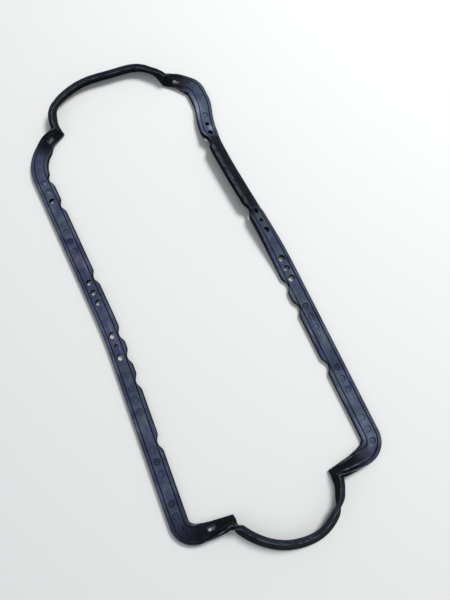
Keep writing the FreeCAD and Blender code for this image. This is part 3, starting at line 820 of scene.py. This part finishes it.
def hole_patch(run, centre, kind, first):
    """Points, marks, quads and triangles of one hole, whose rings also fill its block.

    A ring is the block's outline times one minus its blend, plus the hole's outline, widened
    outwards, times its blend. A recess is closed by a fan of triangles about its middle.
    """
    block = block_outline(kind)
    count = len(block)
    hole = hole_outline(kind, count)
    outward = hole / np.linalg.norm(hole, axis=1)[:, None]
    rings = hole_rings(kind)
    points, marks = [], []
    for blend, wide, level, edge, hollow_shade in rings:
        around = block * (1.0 - blend) + (hole + outward * wide) * blend
        distance, across = centre + around[:, 0], HOLE_LINE + around[:, 1]
        points.append(place(run, distance, across, np.full(count, level)))
        marks.append(finish_marks(run, distance, across, np.full(count, edge), np.full(count, hollow_shade)))
    quads = ring_quads(first, count, len(rings))
    fan = np.zeros((0, 3), int)
    if kind in RECESS_SHADE:
        distance, across = np.array([centre]), np.array([HOLE_LINE])
        points.append(place(run, distance, across, np.array([HALF_THICK - RECESS_DEPTH])))
        marks.append(finish_marks(run, distance, across, np.zeros(1), np.full(1, RECESS_SHADE[kind])))
        tip = first + count * len(rings)
        last = np.arange(tip - count, tip)
        fan = np.stack([last, np.roll(last, -1), np.full(count, tip)], axis=-1)
    return np.concatenate(points), np.concatenate(marks), quads, fan


def strip_mesh(runs):
    """Points, marks, quads and triangles of the whole strip, run by run, each with its holes."""
    points, marks, quads, fans = [], [], [], []
    total = 0
    for run in runs:
        grid_points, grid_marks, grid_quads = strip_grid(run, total)
        points.append(grid_points)
        marks.append(grid_marks)
        quads.append(grid_quads)
        total += len(grid_points)
        for centre, kind in run.blocks:
            hole_points, hole_marks, hole_quads, fan = hole_patch(run, centre, kind, total)
            points.append(hole_points)
            marks.append(hole_marks)
            quads.append(hole_quads)
            fans.append(fan)
            total += len(hole_points)
    return np.concatenate(points), np.concatenate(marks), np.concatenate(quads), np.concatenate(fans)


def weld(points, marks, quads, fans):
    """One vertex for all points that fall on the same place, to a thousandth of a millimetre."""
    keys = np.round(points / MILLIMETRE).astype(np.int64)
    _, first, which = np.unique(keys, axis=0, return_index=True, return_inverse=True)
    which = which.reshape(-1)
    return points[first], marks[first], which[quads], which[fans]


def make_gasket(sharp=50.0):
    """The strip as one closed mesh in metres, with its marks as point attributes.

    Faces that meet at more than the sharp angle are shaded apart.
    """
    points, marks, quads, fans = weld(*strip_mesh(make_runs()))
    mesh = bpy.data.meshes.new("gasket_rubber")
    mesh.from_pydata((points * MILLIMETRE).tolist(), [], quads.tolist() + fans.tolist())
    for column, name in enumerate(("dust_and_sheen", "painted_highlight", "edge", "hollow_shade")):
        attribute = mesh.attributes.new(name, "FLOAT", "POINT")
        attribute.data.foreach_set("value", marks[:, column].astype(np.float32))
    shaped = bmesh.new()
    shaped.from_mesh(mesh)
    bmesh.ops.recalc_face_normals(shaped, faces=shaped.faces)
    open_edges = [edge for edge in shaped.edges if len(edge.link_faces) != 2]
    print("gasket mesh:", len(shaped.verts), "points", len(shaped.faces), "faces",
          len(open_edges), "open edges", "volume %.1f cubic mm" % (shaped.calc_volume() / MILLIMETRE**3))
    shaped.to_mesh(mesh)
    shaped.free()
    mesh.shade_smooth()
    mesh.set_sharp_from_angle(angle=radians(sharp))
    piece = bpy.data.objects.new("gasket_rubber", mesh)
    bpy.context.scene.collection.objects.link(piece)
    return piece


# Finishes


class Finish:
    """A new material's node tree, and a method for each kind of node that a finish needs."""

    def __init__(self, name):
        self.material = bpy.data.materials.new(name)
        self.material.use_nodes = True
        self.nodes = self.material.node_tree.nodes
        self.links = self.material.node_tree.links
        self.nodes.clear()
        output = self.nodes.new("ShaderNodeOutputMaterial")
        self.shader = self.nodes.new("ShaderNodeBsdfPrincipled")
        self.links.new(self.shader.outputs["BSDF"], output.inputs["Surface"])
        self.place = self.nodes.new("ShaderNodeTexCoord").outputs["Object"]

    def stretched(self, scale, turn):
        """Object coordinates scaled, then turned about the upward axis, which draws a pattern out."""
        node = self.nodes.new("ShaderNodeMapping")
        node.inputs["Scale"].default_value = scale
        node.inputs["Rotation"].default_value = (0.0, 0.0, radians(turn))
        self.links.new(self.place, node.inputs["Vector"])
        return node.outputs["Vector"]

    def noise(self, scale, detail, rough=0.5, source=None):
        """Cloudy pattern about a half: scale clouds to the metre, with detail layers of finer ones."""
        node = self.nodes.new("ShaderNodeTexNoise")
        node.inputs["Scale"].default_value = scale
        node.inputs["Detail"].default_value = detail
        node.inputs["Roughness"].default_value = rough
        self.links.new(self.place if source is None else source, node.inputs["Vector"])
        return node.outputs["Fac"]

    def spread(self, source, low, high, to_low=0.0, to_high=1.0):
        """Smooth step from to_low where the source is low to to_high where it is high."""
        node = self.nodes.new("ShaderNodeMapRange")
        node.interpolation_type = "SMOOTHSTEP"
        node.inputs["From Min"].default_value = low
        node.inputs["From Max"].default_value = high
        node.inputs["To Min"].default_value = to_low
        node.inputs["To Max"].default_value = to_high
        self.links.new(source, node.inputs["Value"])
        return node.outputs["Result"]

    def mark(self, name):
        """One of the mesh's own marks."""
        node = self.nodes.new("ShaderNodeAttribute")
        node.attribute_name = name
        return node.outputs["Fac"]

    def upward(self):
        """Upward part of the surface's direction: 1 where it lies flat, 0 where it stands."""
        facing = self.nodes.new("ShaderNodeNewGeometry")
        split = self.nodes.new("ShaderNodeSeparateXYZ")
        self.links.new(facing.outputs["Normal"], split.inputs["Vector"])
        return split.outputs["Z"]

    def calculate(self, operation, first, second):
        """Sum or product of two sources, or of a source and a number."""
        node = self.nodes.new("ShaderNodeMath")
        node.operation = operation
        for socket, value in zip(node.inputs, (first, second)):
            if isinstance(value, float):
                socket.default_value = value
            else:
                self.links.new(value, socket)
        return node.outputs["Value"]

    def product(self, *sources):
        """Product of all the sources."""
        result = sources[0]
        for source in sources[1:]:
            result = self.calculate("MULTIPLY", result, source)
        return result

    def mix(self, share, first, second):
        """Blend of two colours or sources: the first where the share is 0, the second where it is 1."""
        node = self.nodes.new("ShaderNodeMix")
        node.data_type = "RGBA"
        self.links.new(share, node.inputs["Factor"])
        for socket, value in ((node.inputs["A"], first), (node.inputs["B"], second)):
            if isinstance(value, tuple):
                socket.default_value = value + (1.0,)
            else:
                self.links.new(value, socket)
        return node.outputs["Result"]

    def bump(self, height, strength, distance):
        """Surface direction tipped by the slope of height, distance metres high."""
        node = self.nodes.new("ShaderNodeBump")
        node.inputs["Strength"].default_value = strength
        node.inputs["Distance"].default_value = distance
        self.links.new(height, node.inputs["Height"])
        return node.outputs["Normal"]


def dust_sheen_and_highlight_colour(rubber):
    """Dust and painted sheen: bluish and teal clouds, violet patches, and painted highlights where the
    strip is marked so.
    """
    dust_and_sheen = rubber.mix(rubber.spread(rubber.noise(62.0, 4.0, 0.6), 0.40, 0.60), DUST_AND_SHEEN_BLUE, DUST_AND_SHEEN_TEAL)
    dust_and_sheen = rubber.mix(rubber.spread(rubber.noise(48.0, 3.0, 0.6), 0.52, 0.66, 0.0, 0.55), dust_and_sheen, DUST_AND_SHEEN_VIOLET)
    return rubber.mix(rubber.product(rubber.mark("painted_highlight"), 0.5), dust_and_sheen, PAINTED_HIGHLIGHT_PALE)


def dust_and_sheen_cover(rubber):
    """Share of the dust and painted sheen: what lies flat, so that standing faces look shaded, times
    clouds, specks and the strip's own mark.
    """
    # Faces that lie flat take the painted sheen with the dust, so tilted faces stay dark as if shaded
    lying = rubber.spread(rubber.upward(), 0.6, 0.98)
    clouds = rubber.spread(rubber.noise(75.0, 5.0, 0.65), 0.3, 0.7, 0.5, 1.0)
    specks = rubber.spread(rubber.noise(900.0, 3.0, 0.7), 0.3, 0.75, 0.8, 1.0)
    return rubber.product(lying, clouds, specks, rubber.mark("dust_and_sheen"))


def scuff_cover(rubber, dust_and_sheen_mask):
    """Share of the scuffs: noise drawn out along the gasket, in patches, and only in the dust and painted
    sheen.
    """
    drawn_out = rubber.stretched((1.0, 0.07, 1.0), 4.0)
    scuffs = rubber.spread(rubber.noise(560.0, 2.0, 0.5, drawn_out), 0.57, 0.68, 0.0, 0.7)
    patches = rubber.spread(rubber.noise(26.0, 2.0), 0.45, 0.60)
    return rubber.product(scuffs, patches, dust_and_sheen_mask)


def dusty_rubber():
    """Matt blue-black moulded rubber under a film of dust and painted sheen, with painted highlights on
    arrises and painted shade in hollows.
    """
    rubber = Finish("dusty_rubber")
    clean = rubber.mix(rubber.spread(rubber.noise(34.0, 4.0, 0.6), 0.35, 0.7), CLEAN_DARK, CLEAN_GREY)
    dust_and_sheen_mask = dust_and_sheen_cover(rubber)
    with_dust_and_sheen = rubber.mix(dust_and_sheen_mask, clean, dust_sheen_and_highlight_colour(rubber))
    scuffed = rubber.mix(scuff_cover(rubber, dust_and_sheen_mask), with_dust_and_sheen, SCUFF_PALE)
    # Noise breaks up the painted edge highlight
    edge_highlight_breaks = rubber.spread(rubber.noise(160.0, 3.0), 0.35, 0.65, 0.15, 0.95)
    edge_highlighted = rubber.mix(rubber.product(rubber.mark("edge"), edge_highlight_breaks), scuffed, PAINTED_HIGHLIGHT_GREY)
    # Painted shade in grooves, holes, recesses and the crease
    colour = rubber.mix(rubber.mark("hollow_shade"), edge_highlighted, HOLLOW_PAINTED_SHADE)
    roughness = rubber.spread(rubber.noise(120.0, 4.0), 0.3, 0.7, 0.62, 0.78)
    waves = rubber.product(rubber.noise(320.0, 3.0), 2.0)
    grain = rubber.calculate("ADD", rubber.noise(2600.0, 2.0), waves)
    rubber.links.new(colour, rubber.shader.inputs["Base Color"])
    rubber.links.new(roughness, rubber.shader.inputs["Roughness"])
    rubber.links.new(rubber.bump(grain, strength=0.35, distance=0.00012), rubber.shader.inputs["Normal"])
    rubber.shader.inputs["Specular IOR Level"].default_value = 0.06
    return rubber.material


def table_top(reach=6.0):
    """Plain pale matt floor, a square of twice the reach with the gasket in its middle."""
    material = bpy.data.materials.new("pale_table")
    material.use_nodes = True
    shader = material.node_tree.nodes["Principled BSDF"]
    shader.inputs["Base Color"].default_value = TABLE_PALE + (1.0,)
    shader.inputs["Roughness"].default_value = 0.9
    shader.inputs["Specular IOR Level"].default_value = 0.1
    mesh = bpy.data.meshes.new("table_top")
    corners = [(-reach, -reach, 0.0), (reach, -reach, 0.0), (reach, reach, 0.0), (-reach, reach, 0.0)]
    mesh.from_pydata(corners, [], [(0, 1, 2, 3)])
    mesh.materials.append(material)
    floor = bpy.data.objects.new("table_top", mesh)
    bpy.context.scene.collection.objects.link(floor)


# Camera and light


def aim(item, location, forward, up):
    """Turns a camera or lamp so that it looks along forward with up upwards."""
    back = -Vector(forward).normalized()
    side = Vector(up).cross(back).normalized()
    turned = Matrix((side, back.cross(side), back)).transposed().to_4x4()
    item.matrix_world = Matrix.Translation(location) @ turned


def make_camera():
    """Camera 0.44 m above the table, over the gasket's lower half, tipped 13 degrees from straight down."""
    data = bpy.data.cameras.new("camera")
    data.sensor_width = 36.0
    data.lens = 27.0
    data.clip_start = 0.01
    data.clip_end = 50.0
    camera = bpy.data.objects.new("camera", data)
    bpy.context.scene.collection.objects.link(camera)
    stand = (-0.01546, -0.12161, 0.43847)
    forward = (0.0930, 0.2048, -0.9744)
    up = (0.4026, 0.8873, 0.2250)
    aim(camera, stand, forward, up)
    bpy.context.scene.camera = camera


def make_window():
    """Broad round lamp high on the right, aimed at the gasket's middle."""
    location = (1.30, 0.55, 1.71)
    data = bpy.data.lights.new("window", "AREA")
    data.shape = "DISK"
    data.size = 0.75
    data.energy = 43.0
    lamp = bpy.data.objects.new("window", data)
    bpy.context.scene.collection.objects.link(lamp)
    aim(lamp, location, -Vector(location), (0.0, 0.0, 1.0))


def make_world():
    """Soft cool light from all round, seen by the camera as a plain pale backdrop."""
    world = bpy.data.worlds.new("studio")
    bpy.context.scene.world = world
    world.use_nodes = True
    nodes, links = world.node_tree.nodes, world.node_tree.links
    light = nodes["Background"]
    light.inputs["Color"].default_value = SKY_COOL + (1.0,)
    light.inputs["Strength"].default_value = 0.46
    seen = nodes.new("ShaderNodeBackground")
    seen.inputs["Color"].default_value = BACKDROP_PALE + (1.0,)
    path = nodes.new("ShaderNodeLightPath")
    choice = nodes.new("ShaderNodeMixShader")
    links.new(path.outputs["Is Camera Ray"], choice.inputs["Fac"])
    links.new(light.outputs["Background"], choice.inputs[1])
    links.new(seen.outputs["Background"], choice.inputs[2])
    links.new(choice.outputs["Shader"], nodes["World Output"].inputs["Surface"])


gasket = make_gasket()
gasket.data.materials.append(dusty_rubber())
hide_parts("gasket")
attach(gasket, "root")

table_top()
make_world()
make_window()
make_camera()
bpy.context.scene.view_settings.view_transform = "Standard"
